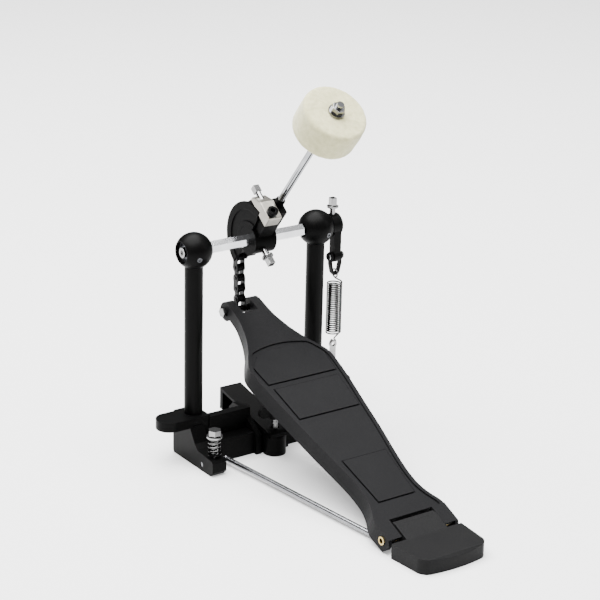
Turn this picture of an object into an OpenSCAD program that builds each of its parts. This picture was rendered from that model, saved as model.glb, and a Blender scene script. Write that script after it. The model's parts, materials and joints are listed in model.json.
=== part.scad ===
// Bass drum pedal with one chain, two round posts and a tension spring on the right.
// Millimetres, +Z up, +Y from the player's heel towards the drum, +X to the player's right.
// The origin is on the floor, under the middle of the axle.

/* [Frame] */
// Height of the axle above the floor
axle_z = 188; // [186:1:192]
// Distance between the two post centres
post_gap = 126; // [124:1:130]
// Post diameter
post_d = 16; // [15:0.5:16.5]
// Diameter of the round head on each post
ball_d = 32; // [31:0.5:33]

/* [Axle and beater] */
// Width across the flats of the hexagonal axle
hex_af = 10; // [9.5:0.5:10]
// Diameter of the round axle ends
journal_d = 8; // [7.5:0.5:8]
// Backward lean of the beater rod at rest, degrees
rod_lean = 39; // [36:1:42]
// Distance from the axle to the middle of the felt
felt_reach = 150.5; // [145.5:1:156.5]
// Diameter of the beater rod
rod_d = 6; // [5.5:0.5:6.5]
// Diameter of the felt beater
felt_d = 56; // [50:1:60]
// Length of the felt beater along its rod
felt_l = 30; // [28:1:34]

/* [Chain] */
// Chain pitch
pitch = 9.525; // [9.525:0.001:9.53]
// Radius of the chain's pins around the axle
wheel_r = 26; // [25.5:0.25:26.5]

/* [Footboard] */
// Slope of the footboard at rest, degrees
board_slope = 22.9; // [22.5:0.1:23.5]
// Distance behind the axle of the heel hinge
hinge_back = 238; // [236:1:240]
// Height of the heel hinge
hinge_z = 10.5; // [10.25:0.25:11]
// Depth of the side skirts below the tread
skirt = 16; // [15:0.5:16.5]

/* [Heel plate] */
// Half the width of the heel plate
heel_w = 35.2; // [34:0.2:37]
// Thickness of the heel plate
heel_t = 12.8; // [12:0.2:13.4]

/* [Hidden] */
$fn = 48;
eps = 0.01;
gap = 0.05;
half = post_gap / 2;
chain_x = -1.5;
tread = 6.05;
toe_y = 281;
toe_z = -3;
lean_off = -7.2;
cap_x = -3.5;
cap_y = -2;
spring_x = 82;
spring_y = -6;
stir_z = 160;
jaw_py = 8;
jaw_pz = 26;
clamp_y = -34;
spur_x = 67.5;
spur_y = -42;

// A cylinder along X from x0 to x1, centred on y, z
module xcyl(x0, x1, r, y = 0, z = 0) {
  translate([x0, y, z]) rotate([0, 90, 0]) cylinder(h = x1 - x0, r = r);
}
// A hexagonal bar along X with a flat on top
module xhex(x0, x1, af) {
  translate([x0, 0, 0]) rotate([0, 90, 0]) cylinder(h = x1 - x0, r = af / sqrt(3), $fn = 6);
}
// A prism along X whose outline is given as [y, z] points
module xprism(x0, x1, pts) {
  translate([x0, 0, 0]) rotate([90, 0, 90]) linear_extrude(height = x1 - x0) polygon(pts);
}
module both() {
  children();
  mirror([1, 0, 0]) children();
}
module at_axle() { translate([0, 0, axle_z]) children(); }
module in_rod() { at_axle() rotate([rod_lean, 0, 0]) children(); }
module in_board() {
  translate([0, -hinge_back, hinge_z]) rotate([board_slope, 0, 0]) children();
}

// ---- fixed frame ----
module foot() {
  difference() {
    union() {
      // low front toe of the foot with its sloping top
      translate([61, 0, 0]) rotate([90, 0, 90]) linear_extrude(height = 14)
        polygon([[-49, 2], [-47, 0], [12, 0], [14, 2], [14, 33], [-14, 33], [-22, 20.6], [-27, 16.2],
          [-49, 14.5], [-51, 12.5], [-51, 4]]);
      // tall block that holds the post
      translate([54, -13, 0]) cube([21, 26, 40]);
    }
    // post socket
    translate([half, 0, 16]) cylinder(h = 60, r = post_d / 2 + gap);
    // hole for the bent end of the radius rod
    xcyl(50, 76, 2.3, -33, 5.7);
    // threaded hole for the spur bolt
    translate([spur_x, spur_y, -1]) cylinder(h = 30, r = 3.05);
  }
}
module ear() {
  difference() {
    union() {
      translate([73, -14.9, 32.5]) cube([15.9, 23.8, 8.6]);
      translate([88.9, -3, 32.5]) cylinder(h = 8.6, r = 12);
    }
  }
}
module base_casting() {
  color([0.1, 0.1, 0.11]) difference() {
    union() {
      both() foot();
      both() ear();
      // rear wall between the feet
      both() translate([13, -14, 0]) cube([42, 8, 38.5]);
      // low step in front of the wall
      both() translate([8, -27, 0]) cube([54, 14.1, 20]);
      // cheeks that carry the jaw pivot
      both() xprism(12, 17, [[-31, 0], [14, 0], [14, 30], [8, 36], [-4, 36], [-31, 19]]);
      // round boss under the clamp screw
      translate([0, clamp_y, 0]) cylinder(h = 18, r = 10.2);
      // floor between the cheeks
      translate([-12.5, -30, 0]) cube([25, 45, 6]);
      // lower jaw that the drum hoop stands on
      translate([-22, 13.9, 0]) cube([44, 34, 10]);
    }
    // cup for the clamp screw's tip
    translate([0, clamp_y, 8]) cylinder(h = 20, r = 3.4);
    // pivot holes
    xcyl(-18, 18, 3, jaw_py, jaw_pz);
    // seat for the spring's eyebolt
    translate([81.5, -5, 33.9]) cylinder(h = 20, r = 2.55);
  }
}
module post() {
  color([0.1, 0.1, 0.11]) translate([half, 0, 16]) cylinder(h = axle_z - 16 - 10, r = post_d / 2);
}
module post_right() { post(); }
module post_left() { mirror([1, 0, 0]) post(); }
// where the set screw sits on the right-hand ball
module set_spot() {
  translate([half, 0, axle_z]) rotate([0, 0, 13]) rotate([104, 0, 0])
    translate([0, 0, ball_d / 2 - 1.2]) children();
}
module ball() {
  color([0.1, 0.1, 0.11]) difference() {
    at_axle() intersection() {
      translate([half, 0, 0]) sphere(r = ball_d / 2, $fn = 96);
      translate([half - 20, -20, -20]) cube([32.5, 40, 40]);
    }
    // socket for the post
    translate([half, 0, axle_z - 30]) cylinder(h = 20, r = post_d / 2 + gap);
    // seat for the bearing, and a narrower hole for the axle on the inner side
    at_axle() xcyl(half - 7, half + 20, 9.5);
    at_axle() xcyl(half - 20, half - 6, 6.3);
    // pocket for the set screw
    set_spot() cylinder(h = 5, r = 2.25);
  }
}
module ball_right() { ball(); }
module ball_left() { mirror([1, 0, 0]) ball(); }
module bearing() {
  color([0.35, 0.35, 0.36]) at_axle() difference() {
    union() {
      xcyl(half - 7, half + 9, 9.5);
    }
    xcyl(half - 8, half + 10, journal_d / 2 + gap);
    // recessed shield faces
    difference() {
      xcyl(half + 7, half + 10, 8);
      xcyl(half + 6, half + 11, 5.4);
    }
  }
}
module bearing_right() { bearing(); }
module bearing_left() { mirror([1, 0, 0]) bearing(); }
module ball_set_screws() {
  color([0.75, 0.75, 0.77]) both() set_spot() difference() {
    cylinder(h = 1.3, r = 2.2);
    translate([0, 0, 0.3]) cylinder(h = 3, r = 1.4, $fn = 6);
  }
}

// ---- axle and what turns with it ----
module axle() {
  color([0.8, 0.8, 0.82]) at_axle() union() {
    xhex(-52, 52, hex_af);
    xcyl(-half - 9.5, -51.9, journal_d / 2);
    xcyl(51.9, 87, journal_d / 2);
  }
}
module axle_end_screws() {
  color([0.75, 0.75, 0.77]) at_axle() union() {
    difference() {
      xcyl(-half - 12, -half - 9.5, 4.6);
      xcyl(-half - 13, -half - 10.8, 2.1);
    }
    difference() {
      xcyl(87, 89.6, 4.4);
      xcyl(88.4, 90, 2);
    }
  }
}
module wedge_cut(x0, x1) {
  xprism(x0, x1, [[0, 0], [24.5, -28.2], [40, -46], [-50, -46], [-50, 60], [-26, 45]]);
}
module chain_wheel() {
  color([0.09, 0.09, 0.1]) at_axle() difference() {
    union() {
      xcyl(-8.5, -6.5, 34);
      xcyl(3.5, 5.5, 34);
      xcyl(-6.6, 3.6, 21.2);
    }
    // seat on the hub
    xcyl(-9, 6, 12.75);
    // shallow web on the outer face
    difference() {
      xcyl(-9, -7.6, 27);
      xcyl(-10, -7, 17);
    }
    wedge_cut(-9, 6);
  }
}
module beater_hub() {
  color([0.09, 0.09, 0.1]) difference() {
    union() {
      at_axle() xcyl(-8.5, 13, 12.7);
      // lobe and neck, kept clear of the wheel
      difference() {
        union() {
          in_rod() translate([5.9, -3, 0]) cube([7, 16, 40]);
          in_rod() translate([9.3, -lean_off, 30]) cylinder(h = 15, r = 4.2);
          in_rod() translate([-6, -6, 8]) cube([14, 14, 22.4]);
        }
        at_axle() difference() {
          xcyl(-8.7, 5.7, 34.2);
          xcyl(-9, 6, 12.2);
          wedge_cut(-9, 6);
        }
      }
      // small lug under the hub
      at_axle() xcyl(-5, 1, 4, 5, -12.5);
    }
    at_axle() xhex(-20, 20, hex_af + 2 * gap);
    in_rod() translate([9.3, -lean_off, 6]) cylinder(h = 60, r = rod_d / 2 + gap);
    // hole for the key bolt
    in_rod() translate([2, 0, 0]) rotate([90, 0, 0]) cylinder(h = 30, r = 3.05);
  }
}
module block_profile() {
  polygon([[-7.6, 30.5], [-7.6, 40.2], [-6.6, 41.2], [10.2, 41.6], [21, 34.4], [21, 31.5],
    [13.5, 31.5], [5, 34.2], [4.6, 30.5]]);
}
module clamp_block() {
  color([0.7, 0.67, 0.6]) in_rod() difference() {
    translate([-8.5, 0, 0]) rotate([90, 0, 90]) linear_extrude(height = 13.5) block_profile();
    translate([cap_x, cap_y, 30]) cylinder(h = 20, r = 3.05);
    translate([-1.5, 30, 35.5]) rotate([90, 0, 0]) cylinder(h = 20, r = 2.55);
  }
}
module clamp_cap_screw() {
  color([0.06, 0.06, 0.06]) in_rod() translate([cap_x, cap_y, 0]) difference() {
    union() {
      translate([0, 0, 30.6]) cylinder(h = 11.5, r = 3);
      translate([0, 0, 41.7]) cylinder(h = 4.2, r = 4.8);
    }
    translate([0, 0, 43.2]) cylinder(h = 4, r = 2.4, $fn = 6);
  }
}
module rod_key_screw() {
  color([0.75, 0.75, 0.77]) in_rod() translate([-1.5, 0, 35.5]) union() {
    translate([0, 24, 0]) rotate([90, 0, 0]) cylinder(h = 13.5, r = 2.5);
    translate([-2.8, 23.9, -2.8]) cube([5.6, 6.5, 5.6]);
  }
}
module hub_key_bolt() {
  color([0.75, 0.75, 0.77]) in_rod() translate([2, 0, 0]) union() {
    translate([0, -7, 0]) rotate([90, 0, 0]) cylinder(h = 12, r = 3);
    translate([0, -18.5, 0]) rotate([90, 0, 0]) cylinder(h = 1.8, r = 5.2);
    translate([-2.8, -28, -2.8]) cube([5.6, 8, 5.6]);
  }
}
// one pair of plates from [y0, z0] along a heading, at +-x from the chain's middle
module plates(x, y0, z0, turn) {
  for (s = [-1, 1])
    translate([chain_x + s * x - 0.5, y0, z0]) rotate([turn, 0, 0]) union() {
      rotate([0, 90, 0]) cylinder(h = 1, r = 3.6);
      translate([0, 0, pitch]) rotate([0, 90, 0]) cylinder(h = 1, r = 3.6);
      translate([0, -2.9, 0]) cube([1, 5.8, pitch]);
    }
}
wrap_step = 2 * asin(pitch / 2 / wheel_r);
wrap_from = 12;
module chain_wrapped() {
  color([0.07, 0.07, 0.07]) at_axle() union() {
    for (i = [0:3]) {
      a = wrap_from + i * wrap_step;
      plates(i % 2 == 0 ? 2.6 : 3.7, wheel_r * cos(a), wheel_r * sin(a), a + wrap_step / 2);
    }
    for (i = [0:4]) {
      a = wrap_from + i * wrap_step;
      xcyl(chain_x - 4.4, chain_x + 4.4, 1.8, wheel_r * cos(a), wheel_r * sin(a));
      xcyl(chain_x - 2.3, chain_x + 2.3, 2.5, wheel_r * cos(a), wheel_r * sin(a));
    }
    // anchor screw through the wheel's web
    xcyl(chain_x - 4.9, chain_x + 4.9, 3, wheel_r * cos(wrap_from + 4 * wrap_step),
      wheel_r * sin(wrap_from + 4 * wrap_step));
  }
}
toe_world_y = -hinge_back + toe_y * cos(board_slope) - toe_z * sin(board_slope);
toe_world_z = hinge_z + toe_y * sin(board_slope) + toe_z * cos(board_slope);
run_turn = atan2(-(wheel_r - toe_world_y), axle_z - toe_world_z);
module chain_hanging() {
  color([0.07, 0.07, 0.07]) translate([0, toe_world_y, toe_world_z]) rotate([run_turn, 0, 0])
  difference() {
    union() {
      for (i = [0:6]) plates(i % 2 == 0 ? 3.7 : 2.6, 0, i * pitch, 0);
      for (i = [1:7]) {
        xcyl(chain_x - 4.4, chain_x + 4.4, 1.8, 0, i * pitch);
        xcyl(chain_x - 2.3, chain_x + 2.3, 2.5, 0, i * pitch);
      }
    }
    xcyl(-12, 12, 2.6);
  }
}

// ---- beater ----
module beater_rod() {
  color([0.8, 0.8, 0.82]) in_rod() translate([9.3, -lean_off, 14])
    cylinder(h = felt_reach + felt_l / 2 + 10 - 14, r = rod_d / 2);
}
module felt_head() {
  color([0.85, 0.84, 0.77]) in_rod() translate([9.3, -lean_off, felt_reach]) difference() {
    union() {
      cylinder(h = felt_l, r = felt_d / 2 - 5.5, center = true, $fn = 96);
      cylinder(h = felt_l / 2, r = felt_d / 2 - 3, $fn = 96);
      translate([0, 0, 5.5 - felt_l / 2]) cylinder(h = felt_l - 8.5, r = felt_d / 2, $fn = 96);
      translate([0, 0, 5.5 - felt_l / 2]) rotate_extrude($fn = 96)
        translate([felt_d / 2 - 5.5, 0]) circle(r = 5.5);
      translate([0, 0, felt_l / 2 - 3]) rotate_extrude($fn = 96)
        translate([felt_d / 2 - 3, 0]) circle(r = 3);
    }
    cylinder(h = 80, r = rod_d / 2, center = true);
  }
}
module felt_washer() {
  color([0.75, 0.75, 0.77]) in_rod() translate([9.3, -lean_off, felt_reach]) union() {
    translate([0, 0, felt_l / 2]) difference() {
      cylinder(h = 1.4, r = 7);
      translate([0, 0, -1]) cylinder(h = 4, r = rod_d / 2);
    }
    translate([0, 0, -felt_l / 2 - 1.4]) difference() {
      cylinder(h = 1.4, r = 7);
      translate([0, 0, -1]) cylinder(h = 4, r = rod_d / 2);
    }
  }
}
module felt_nut() {
  color([0.75, 0.75, 0.77]) in_rod() translate([9.3, -lean_off, felt_reach]) union() {
    translate([0, 0, felt_l / 2 + 1.4]) difference() {
      cylinder(h = 5, r = 5.8, $fn = 6);
      translate([0, 0, -1]) cylinder(h = 8, r = rod_d / 2);
    }
    translate([0, 0, -felt_l / 2 - 5.4]) difference() {
      cylinder(h = 4, r = 5.8, $fn = 6);
      translate([0, 0, -1]) cylinder(h = 8, r = rod_d / 2);
    }
  }
}

// ---- spring side ----
module rocker_hub() {
  color([0.1, 0.1, 0.11]) difference() {
    union() {
      at_axle() xcyl(76, 85.5, 10);
      translate([77.5, -9, stir_z]) cube([7, 8, axle_z - stir_z]);
      xcyl(77.5, 84.5, 5.2, -5, stir_z);
    }
    at_axle() xcyl(70, 90, journal_d / 2);
    xcyl(70, 90, 2.05, -5, stir_z);
    translate([80.5, 0, axle_z + 2]) cylinder(h = 20, r = 2.55);
  }
}
module rocker_key_screw() {
  color([0.75, 0.75, 0.77]) translate([80.5, 0, axle_z]) union() {
    translate([0, 0, 5]) cylinder(h = 12, r = 2.5);
    translate([0, 0, 15.5]) cylinder(h = 1.8, r = 5.2);
    translate([-2.7, -2.7, 17.2]) cube([5.4, 5.4, 7.5]);
  }
}
module rocker_pin() {
  color([0.75, 0.75, 0.77]) union() {
    xcyl(74, 88, 2, -5, stir_z);
    xcyl(73.4, 74.7, 3.2, -5, stir_z);
    xcyl(87.3, 88.6, 3.2, -5, stir_z);
  }
}
module stirrup() {
  color([0.1, 0.1, 0.1]) difference() {
    union() {
      // tapering loop seen from behind
      translate([81, -3, 0]) rotate([90, 0, 0]) linear_extrude(height = 4) difference() {
        polygon([[-6.1, 161], [-6.1, 153], [-4.2, 145], [-2, 142.4], [2, 142.4], [4.2, 145],
          [6.1, 153], [6.1, 161]]);
        polygon([[-4.1, 162], [-4.1, 153.4], [-2.4, 146.4], [-1.2, 145], [1.6, 145], [2.6, 146.4],
          [4.1, 153.4], [4.1, 162]]);
      }
      xcyl(74.9, 76.9, 4, -5, stir_z);
      xcyl(85.1, 87.1, 4, -5, stir_z);
    }
    xcyl(70, 90, 2.05, -5, stir_z);
    translate([81.5, -5, 140]) cylinder(h = 7, r = 1.6);
  }
}
// a coil of wire as a stack of rings joined at their rims
module coil(n, r, w, h) {
  for (i = [0:n - 1]) translate([0, 0, w + i * (h - 2 * w) / (n - 1)])
    rotate_extrude() translate([r, 0]) circle(r = w);
}
module pedal_spring() {
  color([0.8, 0.8, 0.8]) translate([81.5, -5, 0]) difference() {
    union() {
      translate([0, 0, 86]) cylinder(h = 50, r = 7.2);
      // lower hook down to the eye
      translate([0, 0, 79.9]) cylinder(h = 6.3, r = 1.2);
    }
    translate([0, 0, 88]) cylinder(h = 46, r = 5);
  }
}
// upper end of the same wire, hooked through the stirrup's floor
module spring_top_hook() {
  color([0.8, 0.8, 0.8]) translate([81.5, -5, 136.05]) union() {
    cylinder(h = 13.4, r = 1.2);
    cylinder(h = 1.2, r = 4);
  }
}
module spring_eyebolt() {
  color([0.75, 0.75, 0.77]) translate([81.5, -5, 0]) difference() {
    union() {
      translate([-2.8, -1.25, 60]) cube([5.6, 2.5, 16]);
      translate([0, 1.25, 76]) rotate([90, 0, 0]) cylinder(h = 2.5, r = 3.6);
      translate([0, 0, 34]) cylinder(h = 27, r = 2.5);
    }
    translate([0, 3, 76]) rotate([90, 0, 0]) cylinder(h = 8, r = 1.8);
  }
}
module eyebolt_nuts() {
  color([0.75, 0.75, 0.77]) translate([81.5, -5, 0]) for (z = [41.5, 55.5]) translate([0, 0, z])
    difference() {
      cylinder(h = 4.4, r = 5.2, $fn = 6);
      translate([0, 0, -1]) cylinder(h = 8, r = 2.5);
    }
}
module spring_lug() {
  color([0.1, 0.1, 0.11]) difference() {
    union() {
      translate([half, 0, 46]) cylinder(h = 9.4, r = 12);
      translate([half, -12, 46]) cube([25, 14, 9.4]);
    }
    translate([half, 0, 40]) cylinder(h = 20, r = post_d / 2);
    translate([81.5, -5, 40]) cylinder(h = 20, r = 2.6);
  }
}

// ---- footboard and heel ----
board = [[9, 35.25], [17.7, 34], [27.5, 29.5], [38.4, 26.4], [51.4, 25.8],
  [64.4, 26.8], [78.5, 28.6], [107.8, 33], [138.2, 36.6], [165.4, 40], [183.8, 41.5],
  [194, 42], [199, 41.8], [205.5, 40], [214.2, 35], [222.9, 29.8], [237, 23.6], [250, 19.8],
  [261, 17.6], [281, 16.5]];
last = len(board) - 1;
// A smooth curve through the outline's points, four steps to each
function curve(a, b, c, d, t) = 0.5 * (2 * b + (c - a) * t + (2 * a - 5 * b + 4 * c - d) * t * t
  + (3 * b - a - 3 * c + d) * t * t * t);
outline = concat([for (i = [0:last - 1]) for (k = [0:3])
  curve(board[max(i - 1, 0)], board[i], board[i + 1], board[min(i + 2, last)], k / 4)],
  [board[last]]);
rim_end = 57;
arch = [for (k = [-6:6]) [4.6 * k, 223.4 - 0.0065 * pow(4.6 * k, 2)]];
// The tread's plan from one side to the other, drawn in by d
module plan(d) {
  n = len(outline) - 1;
  polygon(concat([for (p = outline) [p[1] - d, p[0]]],
    [for (i = [n:-1:0]) [d - outline[i][1], outline[i][0]]]));
}
module recess_plan() {
  polygon(concat([for (i = [0:rim_end]) [outline[i][1] - 3.6, outline[i][0]]],
    [for (k = [12:-1:0]) arch[k]],
    [for (i = [rim_end:-1:0]) [3.6 - outline[i][1], outline[i][0]]]));
}
// A pad's outline given by its right edge, grown by g
module pad_plan(pts, g) {
  n = len(pts) - 1;
  edge = [for (i = [0:n]) [pts[i][0] + g, pts[i][1] + (i == 0 ? -g : i == n ? g : 0)]];
  polygon(concat(edge, [for (i = [n:-1:0]) [-edge[i][0], edge[i][1]]]));
}
module pad(pts) {
  translate([0, 0, tread - 1.9]) linear_extrude(height = 1.5) pad_plan(pts, 0);
}
module groove(pts) {
  translate([0, 0, tread - 1.9]) linear_extrude(height = 1) pad_plan(pts, 1);
}
top_pad = [[34.6, 180], [36.6, 202], [26, 213.6], [14, 217], [0.5, 218]];
middle_pad = [[30.4, 136], [32.6, 173.4]];
heel_pad = [[18, 33], [19, 47], [21.8, 82]];
module board_ear() {
  xprism(32.1, 35.3, [[-8.4, -2.6], [-4.4, -8.6], [12, -9.6], [12, tread], [-6.2, tread],
    [-8.7, 2.6]]);
  translate([21.6, -6, 3.8]) cube([13.7, 20, tread - 3.8]);
}
module footboard() {
  color([0.14, 0.14, 0.15]) in_board() difference() {
    union() {
      difference() {
        translate([0, 0, tread - skirt]) linear_extrude(height = skirt) plan(0);
        // hollow underside
        translate([0, 0, tread - skirt - 1]) linear_extrude(height = skirt - 2.4) difference() {
          plan(3.2);
          translate([-30, 263]) square([60, 40]);
        }
        // shallower skirts towards the toe
        xprism(-50, 50, [[208, -20], [222, -7.5], [262, -5.5], [300, -5.5], [300, -20]]);
        // recessed tread
        translate([0, 0, tread - 1.3]) linear_extrude(height = 3) recess_plan();
        groove(top_pad);
        groove(middle_pad);
        groove(heel_pad);
        // notch at the heel
        translate([-21.6, -20, -20]) cube([43.2, 34, 40]);
        // pocket in the toe that the chain drops into
        translate([-8.2, 267, -20]) cube([15.4, 30, 40]);
      }
      // tread pads
      // web in front of the notch
      translate([-31.5, 14, -6]) cube([63, 3.2, 6 + tread - 1.4]);
      pad(top_pad);
      pad(middle_pad);
      pad(heel_pad);
      // rounded lugs around the toe bolt
      xcyl(-16.4, -8.2, 8.6, toe_y, toe_z);
      xcyl(7.2, 16.4, 8.6, toe_y, toe_z);
      both() board_ear();
    }
    xcyl(-40, 40, 3.55);
    xcyl(-30, 30, 2.55, toe_y, toe_z);
  }
}
module toe_bolt() {
  color([0.75, 0.75, 0.77]) in_board() translate([0, toe_y, toe_z]) union() {
    xcyl(-17.5, 18, 2.5);
    translate([-20.8, 0, 0]) rotate([0, 90, 0]) cylinder(h = 3.8, r = 4.6, $fn = 6);
    translate([17, 0, 0]) rotate([0, 90, 0]) cylinder(h = 3.6, r = 4.6, $fn = 6);
  }
}
module heel_plate() {
  color([0.1, 0.1, 0.11]) difference() {
    union() {
      difference() {
        linear_extrude(height = heel_t) polygon(concat([[heel_w, -250]],
          [for (k = [0:8]) [heel_w - 12.4 + 10 * cos(k * 9), -278.4 - 10 * sin(k * 9)]],
          [for (k = [5:-1:-5]) [4 * k, -290.4 + 0.0037 * pow(4 * k, 2)]],
          [for (k = [8:-1:0]) [12.4 - heel_w - 10 * cos(k * 9), -278.4 - 10 * sin(k * 9)]],
          [[-heel_w, -250]]));
        // bevelled top rim at the rear
        xprism(-50, 50, [[-292, 9.5], [-286, 14], [-292, 16]]);
      }
      // tongue that covers the hinge inside the footboard's notch
      xprism(-20.6, 20.6, [[-251, 0], [-228.5, 0], [-226.5, 4], [-226.8, 13], [-228.4, 17.4],
        [-231.5, 19.9], [-235.5, 19.4], [-250, heel_t + 0.4], [-251, heel_t]]);
    }
    xcyl(-40, 40, 3.5, -hinge_back, hinge_z);
    // holes for the radius rods
    both() translate([24.6, -249, 4.6]) rotate([90, 0, 0]) cylinder(h = 14, r = 2.3);
  }
}
module heel_hinge_pin() {
  color([0.72, 0.66, 0.5]) translate([0, -hinge_back, hinge_z]) difference() {
    xcyl(-36.4, 36.4, 3.5);
    xcyl(-40, 40, 2.3);
  }
}
module radius_rod() {
  color([0.75, 0.75, 0.77]) union() {
    xcyl(50, 74.5, 2.25, -33, 5.7);
    translate([50, -33, 5.7]) sphere(r = 2.6);
    // straight run back to the heel plate
    rod_dx = 24.6 - 50;
    rod_dy = -249 + 33;
    rod_dz = 4.6 - 5.7;
    rod_len = sqrt(rod_dx * rod_dx + rod_dy * rod_dy + rod_dz * rod_dz);
    translate([50, -33, 5.7]) rotate([0, acos(rod_dz / rod_len), atan2(rod_dy, rod_dx)])
      cylinder(h = rod_len, r = 2.25);
    translate([24.6, -249, 4.6]) sphere(r = 2.6);
    translate([24.6, -249, 4.6]) rotate([90, 0, 0]) cylinder(h = 12, r = 2.25);
  }
}
module radius_rod_right() { radius_rod(); }
module radius_rod_left() { mirror([1, 0, 0]) radius_rod(); }

// ---- hoop clamp ----
module hoop_jaw() {
  color([0.1, 0.1, 0.11]) difference() {
    union() {
      xprism(-11, 11, [[38.5, 38.6], [-44, 22], [-44, 18.6], [-38, 19.2], [2, 29], [34, 35],
        [34, 18], [38.5, 18]]);
      xcyl(-11, 11, 6, jaw_py, jaw_pz);
    }
    xcyl(-15, 15, 3.05, jaw_py, jaw_pz);
    translate([0, clamp_y, 0]) cylinder(h = 60, r = 3.7);
  }
}
module jaw_pivot_pin() {
  color([0.75, 0.75, 0.77]) xcyl(-18.5, 18.5, 3, jaw_py, jaw_pz);
}
module clamp_wing_screw() {
  color([0.75, 0.75, 0.77]) translate([0, clamp_y, 8.2]) cylinder(h = 34, r = 3);
}
module clamp_wing_grip() {
  color([0.1, 0.1, 0.1]) translate([0, clamp_y, 0]) difference() {
    union() {
      translate([0, 0, 33]) cylinder(h = 11, r = 5.5);
      translate([-13, -1.5, 35]) cube([26, 3, 7]);
      for (s = [-1, 1]) translate([s * 12, 1.5, 40]) rotate([90, 0, 0]) cylinder(h = 3, r = 5);
    }
    translate([0, 0, 30]) cylinder(h = 12.2, r = 3);
  }
}

// ---- spurs ----
module spur_bolt() {
  color([0.75, 0.75, 0.77]) translate([spur_x, spur_y, 0]) union() {
    translate([0, 0, 5]) cylinder(h = 29, r = 3);
    rotate([0, 0, 0]) translate([0, 0, 0.6]) cylinder(h = 4.5, r1 = 0.8, r2 = 3);
    translate([0, 0, 33]) cylinder(h = 1.4, r = 7);
    translate([0, 0, 34.3]) cylinder(h = 5.6, r = 5.8, $fn = 6);
  }
}
module spur_bolt_right() { spur_bolt(); }
module spur_bolt_left() { mirror([1, 0, 0]) spur_bolt(); }
module spur_spring() {
  color([0.8, 0.8, 0.8]) translate([spur_x, spur_y, 15.9]) coil(6, 5, 0.85, 17);
}
module spur_spring_right() { spur_spring(); }
module spur_spring_left() { mirror([1, 0, 0]) spur_spring(); }

base_casting();
post_left();
post_right();
ball_left();
ball_right();
bearing_left();
bearing_right();
ball_set_screws();
axle();
axle_end_screws();
chain_wheel();
beater_hub();
clamp_block();
clamp_cap_screw();
rod_key_screw();
hub_key_bolt();
chain_wrapped();
chain_hanging();
beater_rod();
felt_head();
felt_washer();
felt_nut();
rocker_hub();
rocker_key_screw();
rocker_pin();
stirrup();
pedal_spring();
spring_top_hook();
spring_eyebolt();
eyebolt_nuts();
spring_lug();
footboard();
toe_bolt();
heel_plate();
heel_hinge_pin();
radius_rod_left();
radius_rod_right();
hoop_jaw();
jaw_pivot_pin();
clamp_wing_screw();
clamp_wing_grip();
spur_bolt_left();
spur_bolt_right();
spur_spring_left();
spur_spring_right();
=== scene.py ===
import json
import math

import bmesh
import bpy
import numpy as np
from mathutils import Matrix


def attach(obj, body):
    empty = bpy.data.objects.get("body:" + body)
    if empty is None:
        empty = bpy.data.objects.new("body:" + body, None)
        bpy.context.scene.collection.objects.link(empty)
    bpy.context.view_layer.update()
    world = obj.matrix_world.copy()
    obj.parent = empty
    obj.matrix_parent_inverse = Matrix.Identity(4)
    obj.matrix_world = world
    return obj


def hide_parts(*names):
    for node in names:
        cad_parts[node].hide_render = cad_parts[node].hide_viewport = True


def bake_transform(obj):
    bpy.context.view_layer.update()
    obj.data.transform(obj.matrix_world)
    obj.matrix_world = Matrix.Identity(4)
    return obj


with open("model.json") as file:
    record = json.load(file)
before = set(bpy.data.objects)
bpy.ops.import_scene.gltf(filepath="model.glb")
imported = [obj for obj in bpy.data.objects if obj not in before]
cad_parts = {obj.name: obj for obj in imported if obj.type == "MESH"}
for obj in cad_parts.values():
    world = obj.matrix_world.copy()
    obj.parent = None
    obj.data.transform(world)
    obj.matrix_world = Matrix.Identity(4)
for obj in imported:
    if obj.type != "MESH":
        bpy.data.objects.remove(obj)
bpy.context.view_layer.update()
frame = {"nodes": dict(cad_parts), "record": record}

bl_info = {
    "name": "Bass Drum Pedal",
    "version": (1, 0, 0),
    "blender": (4, 5, 0),
    "location": "View3D > Sidebar > Pedal",
    "description": "Builds the visible pieces and finishes of a chain-driven bass drum pedal",
    "category": "Object",
}

# Places in the frame, in millimetres; the axle runs along X
AXLE_Z = 188.0
ROD_LEAN = math.radians(39.0)
ROD_X, ROD_Y = 9.3, 7.2
FELT_REACH = 150.5
PITCH = 9.525
CHAIN_X = -1.5
WHEEL_R = 26.0
WRAP_FROM = 12.0
TOE = (22.0205, 117.0803)
SPRING_XY = (81.5, -5.0)
COIL_LOW, COIL_HIGH = 86.0, 136.0
LOW_EYE_Z, LOW_EYE_R = 77.4, 3.2
TOP_EYE_Z, TOP_EYE_R = 143.7, 3.7
SPUR = (67.5, -42.0)
SPUR_COIL_R, SPUR_WIRE_R = 5.0, 0.85
SPUR_LOW, SPUR_HIGH = 16.8, 32.1
WIRE_SIDES = 12


# ---- small tools ----
def linear(code):
    """sRGB hex to linear colour: each channel is c/12.92 in the dark, else ((c+0.055)/1.055)^2.4."""
    c = np.array([int(code[i : i + 2], 16) for i in (1, 3, 5)]) / 255.0
    c = np.where(c <= 0.04045, c / 12.92, ((c + 0.055) / 1.055) ** 2.4)
    return (float(c[0]), float(c[1]), float(c[2]), 1.0)


def add(tree, kind, settings=None, inputs=None):
    """Adds one node with its settings; an input that is a socket is linked, any other is set."""
    made = tree.nodes.new(kind)
    for key, value in (settings or {}).items():
        setattr(made, key, value)
    for key, value in (inputs or {}).items():
        if isinstance(value, bpy.types.NodeSocket):
            tree.links.new(value, made.inputs[key])
        else:
            made.inputs[key].default_value = value
    return made


def blank(name):
    """A new material with an empty node tree and its Object coordinates."""
    material = bpy.data.materials.new(name)
    material.use_nodes = True
    material.node_tree.nodes.clear()
    where = add(material.node_tree, "ShaderNodeTexCoord").outputs["Object"]
    return material, material.node_tree, where


def close(tree, shader):
    add(tree, "ShaderNodeOutputMaterial", None, {"Surface": shader.outputs["BSDF"]})


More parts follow.
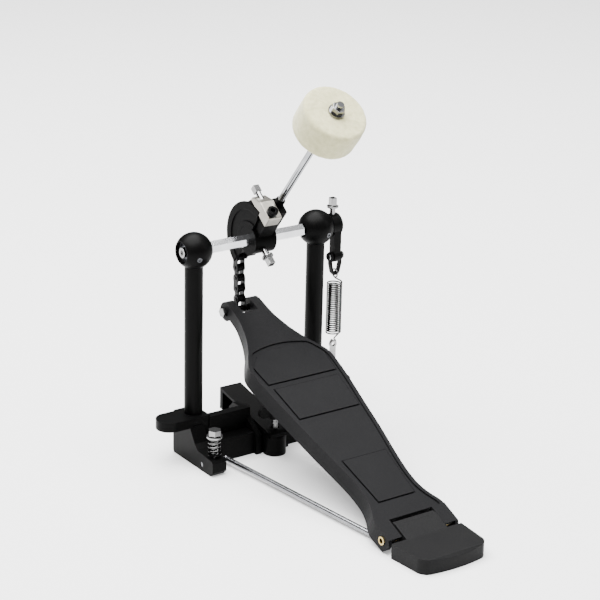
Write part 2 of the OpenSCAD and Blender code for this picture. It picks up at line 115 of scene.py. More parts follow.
def surface(name, rings, wrap=True, material=None, sharp=40.0):
    """Puts grids of points, each (rows, columns, 3) in mm, into one mesh. Row i meets row i+1, and
    columns close round when wrap is set; doubled points at seams and poles are merged and normals
    turned out."""
    points, quads, base = [], [], 0
    for grid in rings:
        rows, cols = grid.shape[:2]
        index = base + np.arange(rows * cols).reshape(rows, cols)
        right = np.roll(index, -1, axis=1) if wrap else index[:, 1:]
        left = index if wrap else index[:, :-1]
        quads.append(
            np.stack([left[:-1], right[:-1], right[1:], left[1:]], axis=-1).reshape(-1, 4)
        )
        points.append(grid.reshape(-1, 3))
        base += rows * cols
    points, quads = np.concatenate(points) / 1000.0, np.concatenate(quads)
    mesh = bpy.data.meshes.new(name)
    mesh.vertices.add(len(points))
    mesh.vertices.foreach_set("co", points.astype(np.float32).ravel())
    mesh.loops.add(quads.size)
    mesh.loops.foreach_set("vertex_index", quads.astype(np.int32).ravel())
    mesh.polygons.add(len(quads))
    mesh.polygons.foreach_set("loop_start", np.arange(0, quads.size, 4, dtype=np.int32))
    mesh.update(calc_edges=True)
    cleaned = bmesh.new()
    cleaned.from_mesh(mesh)
    bmesh.ops.remove_doubles(cleaned, verts=cleaned.verts, dist=2e-6)
    bmesh.ops.dissolve_degenerate(cleaned, edges=cleaned.edges, dist=1e-7)
    bmesh.ops.recalc_face_normals(cleaned, faces=cleaned.faces)
    cleaned.to_mesh(mesh)
    cleaned.free()
    mesh.shade_smooth()
    mesh.set_sharp_from_angle(angle=math.radians(sharp))
    made = bpy.data.objects.new(name, mesh)
    bpy.context.scene.collection.objects.link(made)
    if material:
        mesh.materials.append(material)
    return made


def turned(profile, sides, frame_of):
    """A turned shape: a profile of (radius, height) carried round its axis, so the point is
    (r cos a, r sin a, h), then placed by frame_of, a 4x4 matrix."""
    profile = np.asarray(profile, float)
    a = np.arange(sides) * 2 * math.pi / sides
    grid = np.stack(
        [
            profile[:, :1] * np.cos(a),
            profile[:, :1] * np.sin(a),
            np.repeat(profile[:, 1:], sides, axis=1),
        ],
        axis=-1,
    )
    m = np.array(frame_of)
    return grid @ m[:3, :3].T + m[:3, 3]


def wire(path, radius, sides):
    """Round wire along a path: rings of the given radius square to the path, whose turning about the
    path is undone by a running sum, with a rounded cap at each end."""
    path = np.asarray(path, float)
    t = np.gradient(path, axis=0)
    t /= np.linalg.norm(t, axis=1, keepdims=True)
    n = np.cross(t, np.array([0.69, 0.21, 0.69]))
    n /= np.linalg.norm(n, axis=1, keepdims=True)
    b = np.cross(t, n)
    step = np.arctan2(
        (np.cross(n[:-1], n[1:]) * t[1:]).sum(1), (n[:-1] * n[1:]).sum(1)
    )
    phi = -np.concatenate([[0.0], np.cumsum(step)])
    n, b = (
        np.cos(phi)[:, None] * n + np.sin(phi)[:, None] * b,
        -np.sin(phi)[:, None] * n + np.cos(phi)[:, None] * b,
    )
    a = np.arange(sides) * 2 * math.pi / sides
    ring = np.cos(a)[None, :, None] * n[:, None] + np.sin(a)[None, :, None] * b[:, None]
    body = path[:, None] + radius * ring
    dome = np.array([[0.0, 1.0], [0.5, 0.87], [0.87, 0.5]])
    out, over = dome[:, 0, None, None], dome[:, 1, None, None]
    head = path[0] - radius * over * t[0] + radius * out * ring[0]
    tail = path[-1] + radius * over[::-1] * t[-1] + radius * out[::-1] * ring[-1]
    return np.concatenate([head, body, tail])


def in_rod():
    """The beater rod's own axes: Z up the rod from the axle's height, leaning back by its lean."""
    return (
        Matrix.Translation((0, 0, AXLE_Z))
        @ Matrix.Rotation(ROD_LEAN, 4, "X")
        @ Matrix.Translation((ROD_X, ROD_Y, 0))
    )


# ---- finishes ----
def powder_coat(name, dark, light, gloss, peel, shine=0.08):
    """Polyester powder coat baked on a casting: near black, semi-matte, with the faint orange peel of
    about a millimetre that breaks up every highlight, and a dusty grey bloom over some centimetres."""
    material, tree, where = blank(name)
    bloom = add(tree, "ShaderNodeTexNoise", None, {"Vector": where, "Scale": 38.0, "Detail": 4.0})
    orange = add(tree, "ShaderNodeTexNoise", None, {"Vector": where, "Scale": 900.0, "Detail": 2.0})
    grit = add(tree, "ShaderNodeTexNoise", None, {"Vector": where, "Scale": 3200.0, "Detail": 2.0})
    colour = add(tree, "ShaderNodeMix", {"data_type": "RGBA"},
                 {0: bloom.outputs["Fac"], 6: linear(dark), 7: linear(light)})
    sheen = add(tree, "ShaderNodeMapRange", None,
                {"Value": grit.outputs["Fac"], "To Min": gloss - 0.06, "To Max": gloss + 0.1})
    rise = add(tree, "ShaderNodeBump", None,
               {"Height": orange.outputs["Fac"], "Strength": peel, "Distance": 0.00025})
    rise2 = add(tree, "ShaderNodeBump", None,
                {"Height": grit.outputs["Fac"], "Strength": peel * 0.8, "Distance": 0.0001,
                 "Normal": rise.outputs["Normal"]})
    shader = add(tree, "ShaderNodeBsdfPrincipled", None,
                 {"Base Color": colour.outputs[2], "Roughness": sheen.outputs["Result"],
                  "IOR": 1.5, "Specular IOR Level": shine, "Normal": rise2.outputs["Normal"]})
    close(tree, shader)
    return material


def metal(name, pale, deep, low, high, along, fine, strength, inner=None):
    """Bare or plated metal: grinding or drawing marks are noise stretched along one axis, which streak
    the highlight, with a slow change of tone from handling over a centimetre or so. Where inner is
    given, it is painted shade: the wire takes that colour where it faces into its coil and under each
    turn, so the gaps read dark."""
    material, tree, where = blank(name)
    lie = add(tree, "ShaderNodeMapping", None, {"Vector": where, "Scale": along})
    marks = add(tree, "ShaderNodeTexNoise", None,
                {"Vector": lie.outputs["Vector"], "Scale": fine, "Detail": 3.0})
    haze = add(tree, "ShaderNodeTexNoise", None, {"Vector": where, "Scale": 90.0, "Detail": 3.0})
    colour = add(tree, "ShaderNodeMix", {"data_type": "RGBA"},
                 {0: haze.outputs["Fac"], 6: linear(deep), 7: linear(pale)})
    if inner:
        # painted shade: the stored coil attribute darkens the wire to the inner colour on the coil's
        # inside and under each turn
        bore = add(tree, "ShaderNodeAttribute", {"attribute_name": "coil_painted_shade"})
        colour = add(tree, "ShaderNodeMix", {"data_type": "RGBA"},
                     {0: bore.outputs["Fac"], 6: colour.outputs[2], 7: linear(inner)})
    sheen = add(tree, "ShaderNodeMapRange", None,
                {"Value": marks.outputs["Fac"], "To Min": low, "To Max": high})
    rise = add(tree, "ShaderNodeBump", None,
               {"Height": marks.outputs["Fac"], "Strength": strength, "Distance": 0.00005})
    shader = add(tree, "ShaderNodeBsdfPrincipled", None,
                 {"Base Color": colour.outputs[2], "Metallic": 1.0,
                  "Roughness": sheen.outputs["Result"], "Normal": rise.outputs["Normal"]})
    close(tree, shader)
    return material


def pressed_felt(name, pale, deep):
    """Pressed wool felt: matted fibres about 0.3 mm thick, drawn twice as coarse so they show, lying
    every way over soft lumps of 4 mm, which give a dry, faintly mottled off-white with a soft rim."""
    material, tree, where = blank(name)
    warp = add(tree, "ShaderNodeTexNoise", None, {"Vector": where, "Scale": 260.0, "Detail": 3.0})
    bend = add(tree, "ShaderNodeMix", {"data_type": "RGBA", "blend_type": "ADD"},
               {0: 0.0035, 6: where, 7: warp.outputs["Color"]})
    fibres = add(tree, "ShaderNodeTexNoise", None,
                 {"Vector": bend.outputs[2], "Scale": 1500.0, "Detail": 5.0, "Roughness": 0.7})
    lumps = add(tree, "ShaderNodeTexNoise", None, {"Vector": where, "Scale": 240.0, "Detail": 3.0})
    both = add(tree, "ShaderNodeMath", {"operation": "MULTIPLY_ADD"},
               {0: lumps.outputs["Fac"], 1: 0.9, 2: fibres.outputs["Fac"]})
    tone = add(tree, "ShaderNodeMapRange", None,
               {"Value": both.outputs[0], "From Min": 0.6, "From Max": 1.25})
    colour = add(tree, "ShaderNodeMix", {"data_type": "RGBA"},
                 {0: tone.outputs["Result"], 6: linear(deep), 7: linear(pale)})
    rise = add(tree, "ShaderNodeBump", None,
               {"Height": both.outputs[0], "Strength": 0.55, "Distance": 0.0006})
    shader = add(tree, "ShaderNodeBsdfPrincipled", None,
                 {"Base Color": colour.outputs[2], "Roughness": 0.95, "Specular IOR Level": 0.2,
                  "Sheen Weight": 0.35, "Sheen Roughness": 0.5, "Normal": rise.outputs["Normal"]})
    close(tree, shader)
    return material


def finishes(colours):
    """Every finish of the pedal by name. Even marks lie every way; the others streak along one axis."""
    even = (1.0, 1.0, 1.0)
    return {
        "black_powder_coat": powder_coat("black_powder_coat", colours.coat, "#060606", 0.38, 0.2, 0.04),
        "black_tread": powder_coat("black_textured_coat", colours.tread, "#111112", 0.50, 0.5, 0.05),
        # lighter than the coat of the other castings: a painted highlight for the broad soft highlight
        # on the heel plate
        "heel_painted_highlight_coat": powder_coat("black_heel_painted_highlight_coat", "#0e0e0f", "#131313", 0.46, 0.4, 0.06),
        "black_casting": powder_coat("black_hub_coat", colours.coat, "#050505", 0.40, 0.25, 0.02),
        "black_plastic": powder_coat("black_nylon", "#060606", "#0b0b0b", 0.45, 0.15, 0.05),
        # ground flat along its length, so it streaks along X
        "ground_steel": metal("ground_steel", "#cfd0d2", "#a5a6a9", 0.08, 0.2,
                              (0.04, 1.0, 1.0), 3000.0, 0.35),
        "bearing_steel": metal("shielded_bearing_steel", "#6a6b6e", "#3c3d40", 0.28, 0.45,
                               even, 1400.0, 0.2),
        # thick satin nickel over a casting: warm and softly mottled
        "satin_nickel": metal("satin_nickel", colours.nickel, "#6f6c65", 0.24, 0.38,
                              even, 1100.0, 0.3),
        "black_oxide": metal("black_oxide_steel", "#101010", "#070707", 0.3, 0.5,
                             even, 1800.0, 0.3),
        "black_chain": metal("oiled_black_chain_steel", "#111112", "#060606", 0.26, 0.5,
                             even, 1500.0, 0.4),
        # polished then chromed: nearly a mirror, with faint draw marks up the rod
        "chromed_rod": metal("polished_chrome", "#a9aaac", "#7c7d80", 0.05, 0.1,
                             (1.0, 0.1, 0.1), 1600.0, 0.1),
        # the last colour is painted shade, for the inside of each coil and the underside of each turn
        "spring_wire": metal("bright_nickel_wire", "#737372", "#424242", 0.12, 0.22,
                             even, 1300.0, 0.15, "#050505"),
        "hinge_brass": metal("dull_brass_bush", "#c7b27c", "#8f7b48", 0.25, 0.45,
                             even, 1500.0, 0.3),
        "bright_rod": metal("zinc_plated_rod", "#96979a", "#6c6d70", 0.16, 0.28,
                            (1.0, 0.06, 1.0), 2000.0, 0.2),
        "zinc_screws": metal("bright_zinc_screws", "#9c9c9b", "#626264", 0.10, 0.22,
                             even, 1200.0, 0.25),
        "white_felt": pressed_felt("pressed_wool_felt", colours.felt, "#9c9873"),
    }


FINISH = {}

# Edge radius in mm that each coated or machined piece is given, from its casting or its tooling
EDGES = {
    "base_casting": 1.0, "footboard": 0.7, "heel_plate": 1.0, "hoop_jaw": 0.7, "clamp_block": 0.5,
    "beater_hub": 0.5, "rocker_hub": 0.5, "stirrup": 0.5, "spring_lug": 0.6, "chain_wheel": 0.35,
    "clamp_wing_grip": 0.6, "axle": 0.3, "rod_key_screw": 0.35, "hub_key_bolt": 0.35,
    "rocker_key_screw": 0.35, "clamp_cap_screw": 0.35, "toe_bolt": 0.3, "spur_bolt_left": 0.3,
    "spur_bolt_right": 0.3, "eyebolt_nuts": 0.3, "spring_eyebolt": 0.35, "felt_nut": 0.3,
    "axle_end_screws": 0.3, "ball_set_screws": 0.2,
}


class PedalSizes(bpy.types.PropertyGroup):
    """Sizes of the pieces that are made here"""

    felt_radius: bpy.props.FloatProperty(
        name="Felt radius", description="Radius of the felt head, mm", default=28.0, min=20, max=35
    )
    felt_length: bpy.props.FloatProperty(
        name="Felt length", description="Length of the felt head, mm", default=30.0, min=20, max=45
    )
    felt_edge: bpy.props.FloatProperty(
        name="Felt edge", description="Rounding of the felt's rims, mm", default=5.5, min=1, max=12
    )
    coil_wire: bpy.props.FloatProperty(
        name="Coil wire", description="Diameter of the tension spring's wire, mm", default=1.35
    )
    coil_radius: bpy.props.FloatProperty(
        name="Coil radius", description="Outer radius of the tension spring, mm", default=7.2
    )
    coil_turns: bpy.props.FloatProperty(
        name="Coil turns", description="Turns of the tension spring", default=24.0
    )
    spur_turns: bpy.props.FloatProperty(
        name="Spur turns", description="Turns of each spur spring", default=5.0
    )
    thread_pitch: bpy.props.FloatProperty(
        name="Thread pitch", description="Pitch of the screw threads, mm", default=1.0
    )


class PedalColours(bpy.types.PropertyGroup):
    """Colours as sRGB hex"""

    coat: bpy.props.StringProperty(
        name="Coat", description="Black of the coated castings", default="#020202"
    )
    tread: bpy.props.StringProperty(
        name="Tread", description="Charcoal black of the footboard", default="#0d0d0e"
    )
    nickel: bpy.props.StringProperty(
        name="Nickel", description="Satin nickel of the clamp block", default="#a7a49c"
    )
    felt: bpy.props.StringProperty(
        name="Felt", description="Off-white of the felt", default="#bdb991"
    )
    floor: bpy.props.StringProperty(
        name="Floor", description="Pale studio floor", default="#cfcfcf"
    )


class PEDAL_OT_stage(bpy.types.Operator):
    """Camera, floor and soft studio light"""

    bl_idname = "pedal.stage"
    bl_label = "Stage"

    def execute(self, context):
        yaw, pitch, roll = math.radians(35.18), math.radians(19.94), 0.0240
        right = np.array([math.cos(yaw), -math.sin(yaw), 0.0])
        ahead = np.array([0.5415, 0.7684, -0.3411])
        ahead /= np.linalg.norm(ahead)
        up = np.cross(right, ahead)
        right, up = (
            math.cos(roll) * right + math.sin(roll) * up,
            -math.sin(roll) * right + math.cos(roll) * up,
        )
        lens = bpy.data.cameras.new("pedal_camera")
        lens.sensor_width = 36.0
        lens.lens = 115.98
        lens.clip_end = 30.0
        eye = bpy.data.objects.new("pedal_camera", lens)
        m = np.eye(4)
        m[:3, 0], m[:3, 1], m[:3, 2] = right, up, -ahead
        m[:3, 3] = (-0.8805, -1.3170, 0.7074)
        eye.matrix_world = Matrix(m.tolist())
        context.scene.collection.objects.link(eye)
        context.scene.camera = eye

        colours = context.scene.pedal_colours
        paper, tree, where = blank("matte_studio_paper")
        tooth = add(tree, "ShaderNodeTexNoise", None, {"Vector": where, "Scale": 400.0, "Detail": 3.0})
        tone = add(tree, "ShaderNodeMix", {"data_type": "RGBA"},
                   {0: tooth.outputs["Fac"], 6: linear(colours.floor), 7: linear("#d3d3d3")})
        close(tree, add(tree, "ShaderNodeBsdfPrincipled", None,
                        {"Base Color": tone.outputs[2], "Roughness": 0.9,
                         "Specular IOR Level": 0.1,
                         "Emission Color": (1.0, 1.0, 1.0, 1.0), "Emission Strength": 0.35}))
        s = np.linspace(-6000.0, 6000.0, 3)
        grid = np.stack(np.meshgrid(s, s, indexing="ij") + [np.full((3, 3), -0.15)], axis=-1)
        floor = surface("studio_floor", [grid], wrap=False, material=paper)
        if floor.data.polygons[0].normal.z < 0:
            floor.data.flip_normals()

        world = bpy.data.worlds.new("studio")
        world.use_nodes = True
        world.node_tree.nodes.clear()
        w = world.node_tree
        seen = add(w, "ShaderNodeTexCoord").outputs["Generated"]
        height = add(w, "ShaderNodeSeparateXYZ", None, {0: seen})
        ramp = add(w, "ShaderNodeValToRGB", None, {"Fac": height.outputs["Z"]})
        low, high = ramp.color_ramp.elements
        low.position, low.color = 0.25, (0.03, 0.03, 0.032, 1)
        high.position, high.color = 0.9, (1, 1, 1, 1)
        back = add(w, "ShaderNodeBackground", None, {"Color": ramp.outputs["Color"], "Strength": 1.0})
        add(w, "ShaderNodeOutputWorld", None, {"Surface": back.outputs["Background"]})
        context.scene.world = world

        for name, place, aim, size, power in (
            ("overhead_softbox", (-0.3, 0.1, 2.5), (0, -0.1, 0.1), 3.2, 560.0),
            ("left_softbox", (-2.0, -0.6, 1.0), (0, -0.1, 0.15), 0.5, 1.5),
            ("right_softbox", (1.7, -1.4, 1.2), (0, -0.1, 0.15), 0.8, 10.0),
        ):
            lamp = bpy.data.lights.new(name, "AREA")
            lamp.shape, lamp.size, lamp.energy = "SQUARE", size, power
            held = bpy.data.objects.new(name, lamp)
            z = np.array(place) - np.array(aim)
            z /= np.linalg.norm(z)
            x = np.cross((0.0, 1.0, 0.001), z)
            x /= np.linalg.norm(x)
            m = np.eye(4)
            m[:3, 0], m[:3, 1], m[:3, 2], m[:3, 3] = x, np.cross(z, x), z, place
            held.matrix_world = Matrix(m.tolist())
            context.scene.collection.objects.link(held)
        return {"FINISHED"}


class PEDAL_OT_finishes(bpy.types.Operator):
    """Puts each finish on its frame pieces and rounds their edges"""

    bl_idname = "pedal.finishes"
    bl_label = "Finishes and edges"

    def execute(self, context):
        FINISH.update(finishes(context.scene.pedal_colours))
        slots = {p["node"]: p["material_slot"] for p in frame["record"]["subparts"]}
        for name, piece in frame["nodes"].items():
            piece.data.materials.clear()
            # the heel plate takes the lighter coat, a painted highlight
            finish = "heel_painted_highlight_coat" if name == "heel_plate" else slots[name]
            piece.data.materials.append(FINISH[finish])
            if name in EDGES:
                weld = piece.modifiers.new("joined", "WELD")
                weld.merge_threshold = 1e-6
                flat = piece.modifiers.new("flats", "DECIMATE")
                flat.decimate_type = "DISSOLVE"
                flat.angle_limit = math.radians(0.3)
                edge = piece.modifiers.new("edges", "BEVEL")
                edge.width = EDGES[name] / 1000.0
                edge.segments = 2
                edge.limit_method = "ANGLE"
                edge.angle_limit = math.radians(32)
                edge.use_clamp_overlap = True
                edge.harden_normals = False
                piece.modifiers.new("shading", "WEIGHTED_NORMAL").keep_sharp = True
        return {"FINISHED"}


class PEDAL_OT_felt(bpy.types.Operator):
    """The pressed felt head on the beater rod"""

    bl_idname = "pedal.felt"
    bl_label = "Felt head"

    def execute(self, context):
        """A closed outline of straight faces and round rims is carried round the rod. The sides crown
        by a fraction of a millimetre, the faces dish in to the washers, and seeded smooth noise lifts
        the skin by up to 0.2 mm."""
        size = context.scene.pedal_sizes
        radius, half, edge = size.felt_radius - 0.3, size.felt_length / 2, size.felt_edge
        sides, rim, bore_r = 220, 3.4, 3.0
        a = np.linspace(0, math.pi / 2, 14)
        low_face = np.linspace(bore_r, radius - edge, 26)
        face = np.linspace(bore_r, radius - rim, 26)
        low_dish = -1.0 * np.exp(-(((low_face - bore_r) / 7.0) ** 2))
        dish = -1.0 * np.exp(-(((face - bore_r) / 7.0) ** 2))
        wall = np.linspace(-half + edge, half - rim, 26)
        crown = 0.3 * np.sin(np.linspace(0, math.pi, 26))
        r = np.concatenate([low_face, radius - edge + edge * np.sin(a[1:]), radius + crown[1:-1],
                            radius - rim + rim * np.cos(a), face[::-1][1:]])
        h = np.concatenate([-half - low_dish, -half + edge - edge * np.cos(a[1:]), wall[1:-1],
                            half - rim + rim * np.sin(a), (half + dish)[::-1][1:]])
        dice = np.random.default_rng(7)
        waves = np.zeros((len(r), sides))
        turn = np.arange(sides) * 2 * math.pi / sides
        along = np.linspace(0, 1, len(r))
        for _ in range(60):
            k, m = dice.integers(3, 40), dice.uniform(4, 60)
            waves += np.cos(k * turn[None] + m * along[:, None] + dice.uniform(0, 6.28)) / math.sqrt(k)
        waves *= 0.22 / np.abs(waves).max()
        waves *= np.clip((r - 6.0) / 3.0, 0, 1)[:, None]
        grid = turned(np.stack([r, h], axis=1), sides, Matrix.Identity(4))
        out = np.stack([np.cos(turn), np.sin(turn), 0 * turn], axis=-1)
        tilt = np.gradient(np.stack([r, h], axis=1), axis=0)
        tilt /= np.linalg.norm(tilt, axis=1, keepdims=True)
        skin = tilt[:, 1, None, None] * out[None] - tilt[:, 0, None, None] * np.array([0, 0, 1.0])
        grid = grid + waves[..., None] * skin
        bore = turned([[bore_r, half + dish[0]], [bore_r, -half - low_dish[0]]], sides,
                      Matrix.Identity(4))
        m = np.array(in_rod() @ Matrix.Translation((0, 0, FELT_REACH)))
        grids = [g @ m[:3, :3].T + m[:3, 3] for g in (grid, bore)]
        felt = surface("felt_beater_head", grids, material=FINISH["white_felt"], sharp=60)
        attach(felt, "beater")
        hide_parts("felt_head")
        return {"FINISHED"}


def link_plate(p, q, x, thick, radius, waist):
    """One side plate: an outline of two round ends joined by sides that draw in by a sine squared,
    carried over the plate's thickness with small chamfers and closed on its middle line."""
    p, q = np.asarray(p, float), np.asarray(q, float)
    run = q - p
    length = np.linalg.norm(run)
    run = run / length
    side = np.array([-run[1], run[0]])
    ends = np.linspace(0, math.pi, 13)
    s = np.linspace(0, length, 11)[1:-1]
    pinch = radius - (radius - waist) * np.sin(math.pi * s / length) ** 2
    along = np.concatenate([np.zeros(13), s, np.full(13, length), s[::-1]])
    push = np.concatenate([
        np.stack([-radius * np.sin(ends), radius * np.cos(ends)], 1),
        np.stack([0 * s, -pinch], 1),
        np.stack([radius * np.sin(ends), -radius * np.cos(ends)], 1),
        np.stack([0 * s, pinch[::-1]], 1)])
    half, cut = thick / 2, 0.16
    grow = np.array([0.0, 1 - cut / radius * 1.3, 1.0, 1.0, 1 - cut / radius * 1.3, 0.0])
    level = np.array([-half, -half, -half + cut, half - cut, half, half])
    u = along[None] + push[None, :, 0] * grow[:, None]
    v = push[None, :, 1] * grow[:, None]
    yz = p + u[..., None] * run + v[..., None] * side
    across = np.broadcast_to((x + level)[:, None, None], (6, u.shape[1], 1))
    return np.concatenate([across, yz], axis=-1)


def pin(at, profile):
    """A pin or roller across the chain at (y, z): its profile of (radius, x) is turned about X."""
    place = Matrix.Translation((CHAIN_X, at[0], at[1])) @ Matrix.Rotation(math.pi / 2, 4, "Y")
    return turned(profile, 20, place)


# Distance of the outer and inner plates from the chain's middle, and their thickness, end and waist
OUTER_PLATE, INNER_PLATE = 3.6, 2.6
PLATE = (0.95, 3.9, 3.3)
# Outlines of (radius, x) of the pins, the sleeve on the toe bolt and the rollers
PIN = [[0, -4.75], [1.3, -4.75], [1.75, -4.4], [1.75, 4.4], [1.3, 4.75], [0, 4.75]]
SLEEVE = [[2.52, -6.5], [2.9, -6.5], [2.9, 8.5], [2.52, 8.5], [2.52, -6.5]]
ROLLER = [[1.6, -2.02], [3.05, -2.02], [3.3, -1.8], [3.3, 1.8], [3.05, 2.02], [1.6, 2.02]]


class PEDAL_OT_chain(bpy.types.Operator):
    """The roller chain, in two runs"""

    bl_idname = "pedal.chain"
    bl_label = "Roller chain"

    def execute(self, context):
        step = 2 * math.asin(PITCH / 2 / WHEEL_R)
        turn = math.atan2(WHEEL_R - TOE[0], AXLE_Z - TOE[1])
        hang = [
            (TOE[0] + i * PITCH * math.sin(turn), TOE[1] + i * PITCH * math.cos(turn))
            for i in range(8)
        ]
        wrap = [
            (WHEEL_R * math.cos(math.radians(WRAP_FROM) + i * step),
             AXLE_Z + WHEEL_R * math.sin(math.radians(WRAP_FROM) + i * step))
            for i in range(5)
        ]
        pins = hang + wrap
        runs = (("chain_hanging_links", range(0, 8), range(1, 8), "chain_run", "chain_hanging"),
                ("chain_wrapped_links", range(8, 12), range(8, 13), "axle_set", "chain_wrapped"))
        for name, links, joints, body, node in runs:
            grids = []
            for k in links:
                out = OUTER_PLATE if k % 2 == 0 else INNER_PLATE
                for x in (CHAIN_X - out, CHAIN_X + out):
                    grids.append(link_plate(pins[k], pins[k + 1], x, *PLATE))
            for k in joints:
                grids.append(pin(pins[k], PIN))
                grids.append(pin(pins[k], ROLLER))
            if name == "chain_hanging_links":
                grids.append(pin(pins[0], SLEEVE))
            chain = surface(name, grids, material=FINISH["black_chain"], sharp=35)
            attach(chain, body)
            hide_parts(node)
        return {"FINISHED"}


def shade_inside(spring, axis, radius, low, high, turns):
    """Stores how far each point of a coil is hidden from the light, 0 to 1. It is the greater of how
    far it faces the coil's axis (the coil's radius less the point's) and how far it lies under the
    wire's middle (the helix's height there less the point's), and 0 beyond the coil's two ends."""
    mesh = spring.data
    at = np.empty(len(mesh.vertices) * 3, np.float32)
    mesh.vertices.foreach_get("co", at)
    at = at.reshape(-1, 3) * 1000.0
    depth = radius - np.hypot(at[:, 0] - axis[0], at[:, 1] - axis[1])
    within = (at[:, 2] > low - 0.9) & (at[:, 2] < high + 0.9)
    pitch = (high - low) / turns
    turn = np.arctan2(at[:, 1] - axis[1], at[:, 0] - axis[0]) / (2 * math.pi)
    over = ((at[:, 2] - low) / pitch - turn + 0.5) % 1.0 - 0.5
    under = -over * pitch
    inside = np.clip(np.maximum(depth / 0.4 + 0.45, under / 0.3 + 0.3), 0, 1) * within
    # stored for the wire's finish, which paints these points dark as painted shade
    mesh.attributes.new("coil_painted_shade", "FLOAT", "POINT").data.foreach_set(
        "value", inside.astype(np.float32))


def coil_path(turns, radius, low, high, dead=0.0):
    """A helix about Z: the angle grows evenly and the height with it, flat for the dead part of a turn
    at each end."""
    n = int(turns * 28)
    a = np.linspace(0, turns, n)
    rise = np.clip((a - dead) / (turns - 2 * dead), 0, 1)
    return np.stack([radius * np.cos(a * 2 * math.pi), radius * np.sin(a * 2 * math.pi),
                     low + (high - low) * rise], axis=1)


class PEDAL_OT_tension_spring(bpy.types.Operator):
    """The close-wound tension spring with its two hooks"""

    bl_idname = "pedal.tension_spring"
    bl_label = "Tension spring"

    def execute(self, context):
        """The wire runs from the lower eye up to the coil, round it, and on to the upper eye. Each eye
        is most of a circle in the YZ plane, joined to the coil by an even blend of its end points."""
        size = context.scene.pedal_sizes
        wire_r = size.coil_wire / 2
        r = size.coil_radius - wire_r
        low, high = COIL_LOW + wire_r, COIL_HIGH - wire_r
        coil = coil_path(size.coil_turns, r, low, high)
        eye = np.linspace(math.radians(-60), math.radians(250), 30)
        top_eye = np.stack(
            [0 * eye, TOP_EYE_R * np.cos(eye), TOP_EYE_Z + TOP_EYE_R * np.sin(eye)], axis=1)
        low_eye = np.stack(
            [LOW_EYE_R * np.cos(eye), 0 * eye, LOW_EYE_Z - LOW_EYE_R * np.sin(eye)], axis=1)
        s = np.linspace(0, 1, 16)[1:-1, None]

        def bridge(p, pd, q, qd):
            """A cubic from p to q with end directions pd and qd."""
            return ((2 * s**3 - 3 * s**2 + 1) * p + (s**3 - 2 * s**2 + s) * pd
                    + (3 * s**2 - 2 * s**3) * q + (s**3 - s**2) * qd)

        def heading(run, at):
            d = run[at + 1] - run[at] if at >= 0 else run[at] - run[at - 1]
            return d / np.linalg.norm(d)

        low_eye = low_eye[::-1]
        first = bridge(low_eye[-1], 9 * heading(low_eye, -1), coil[0], 9 * heading(coil, 0))
        last = bridge(coil[-1], 9 * heading(coil, -1), top_eye[0], 9 * heading(top_eye, 0))
        path = np.concatenate([low_eye, first, coil, last, top_eye])
        path[:, :2] += SPRING_XY
        spring = surface("tension_spring", [wire(path, wire_r, WIRE_SIDES)],
                         material=FINISH["spring_wire"], sharp=80)
        shade_inside(spring, SPRING_XY, r, low, high, size.coil_turns)
        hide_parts("pedal_spring", "spring_top_hook")
        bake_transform(spring)
        return {"FINISHED"}


class PEDAL_OT_spur_springs(bpy.types.Operator):
    """The open springs under the spur bolts"""

    bl_idname = "pedal.spur_springs"
    bl_label = "Spur springs"

    def execute(self, context):
        size = context.scene.pedal_sizes
        for name, sign, body, node in (("spur_coil_left", -1, "spur_l", "spur_spring_left"),
                                       ("spur_coil_right", 1, "spur_r", "spur_spring_right")):
            path = coil_path(size.spur_turns, SPUR_COIL_R, SPUR_LOW, SPUR_HIGH, dead=0.45)
            path[:, :2] += (sign * SPUR[0], SPUR[1])
            spring = surface(name, [wire(path, SPUR_WIRE_R, WIRE_SIDES)],
                             material=FINISH["spring_wire"], sharp=80)
            shade_inside(spring, (sign * SPUR[0], SPUR[1]), SPUR_COIL_R, SPUR_LOW, SPUR_HIGH,
                         size.spur_turns)
            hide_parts(node)
            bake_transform(spring)
        return {"FINISHED"}


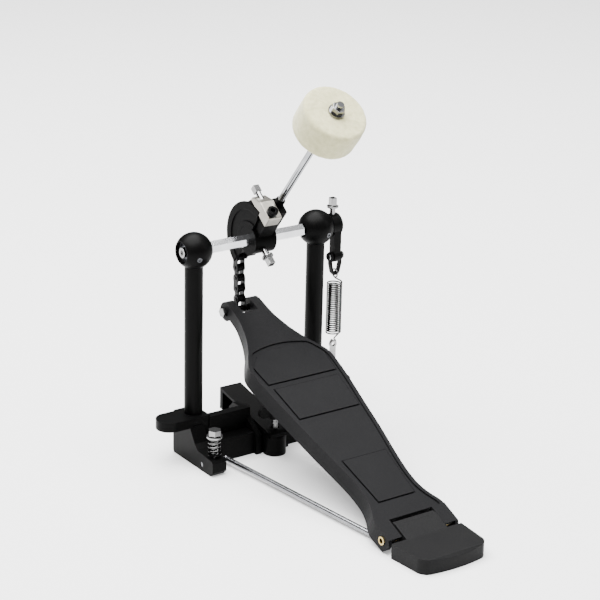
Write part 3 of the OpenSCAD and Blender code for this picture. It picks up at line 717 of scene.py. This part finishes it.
class PEDAL_OT_threads(bpy.types.Operator):
    """Cut threads on the upright screws"""

    bl_idname = "pedal.threads"
    bl_label = "Threads"

    def execute(self, context):
        """The radius is a triangle wave of height over pitch less turn, so the crests wind up."""
        pitch = context.scene.pedal_sizes.thread_pitch
        for name, x, y, low, high, r, body in (
            ("eyebolt_thread", 81.5, -5.0, 33.8, 58.5, 2.62, "frame"),
            ("spur_thread_left", -SPUR[0], SPUR[1], 15.2, 32.9, 3.1, "spur_l"),
            ("spur_thread_right", SPUR[0], SPUR[1], 15.2, 32.9, 3.1, "spur_r"),
            ("clamp_thread", 0.0, -34.0, 18.5, 32.9, 3.12, "wing_screw"),
        ):
            sides = 24
            rows = int((high - low) / pitch * 8)
            z = np.linspace(low, high, rows)
            a = np.arange(sides) / sides
            phase = (z[:, None] / pitch - a[None]) % 1.0
            rr = r - 0.45 * (1 - np.abs(2 * phase - 1)) * 0.9
            rr[0] = rr[-1] = r - 0.5
            grid = np.stack([x + rr * np.cos(2 * math.pi * a), y + rr * np.sin(2 * math.pi * a),
                             np.repeat(z[:, None], sides, axis=1)], axis=-1)
            ends = [np.broadcast_to(np.array([x, y, e]), (1, sides, 3)) for e in (low, high)]
            made = surface(name, [np.concatenate([ends[0], grid, ends[1]])],
                           material=FINISH["zinc_screws"], sharp=70)
            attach(made, body)
        return {"FINISHED"}


OPERATORS = (PEDAL_OT_stage, PEDAL_OT_finishes, PEDAL_OT_felt, PEDAL_OT_chain,
             PEDAL_OT_tension_spring, PEDAL_OT_spur_springs, PEDAL_OT_threads)


class PEDAL_PT_panel(bpy.types.Panel):
    """The pedal's pieces, sizes and colours"""

    bl_label = "Bass Drum Pedal"
    bl_idname = "PEDAL_PT_panel"
    bl_space_type = "VIEW_3D"
    bl_region_type = "UI"
    bl_category = "Pedal"

    def draw(self, context):
        for group in (context.scene.pedal_sizes, context.scene.pedal_colours):
            box = self.layout.box()
            for name in group.__annotations__:
                box.prop(group, name)
        for operator in OPERATORS:
            self.layout.operator(operator.bl_idname)


CLASSES = (PedalSizes, PedalColours) + OPERATORS + (PEDAL_PT_panel,)


def register():
    for each in CLASSES:
        bpy.utils.register_class(each)
    bpy.types.Scene.pedal_sizes = bpy.props.PointerProperty(type=PedalSizes)
    bpy.types.Scene.pedal_colours = bpy.props.PointerProperty(type=PedalColours)


def unregister():
    del bpy.types.Scene.pedal_sizes
    del bpy.types.Scene.pedal_colours
    for each in reversed(CLASSES):
        bpy.utils.unregister_class(each)


def main():
    register()
    bpy.ops.pedal.stage()
    bpy.ops.pedal.finishes()
    bpy.ops.pedal.felt()
    bpy.ops.pedal.chain()
    bpy.ops.pedal.tension_spring()
    bpy.ops.pedal.spur_springs()
    bpy.ops.pedal.threads()


if __name__ == "__main__":
    main()
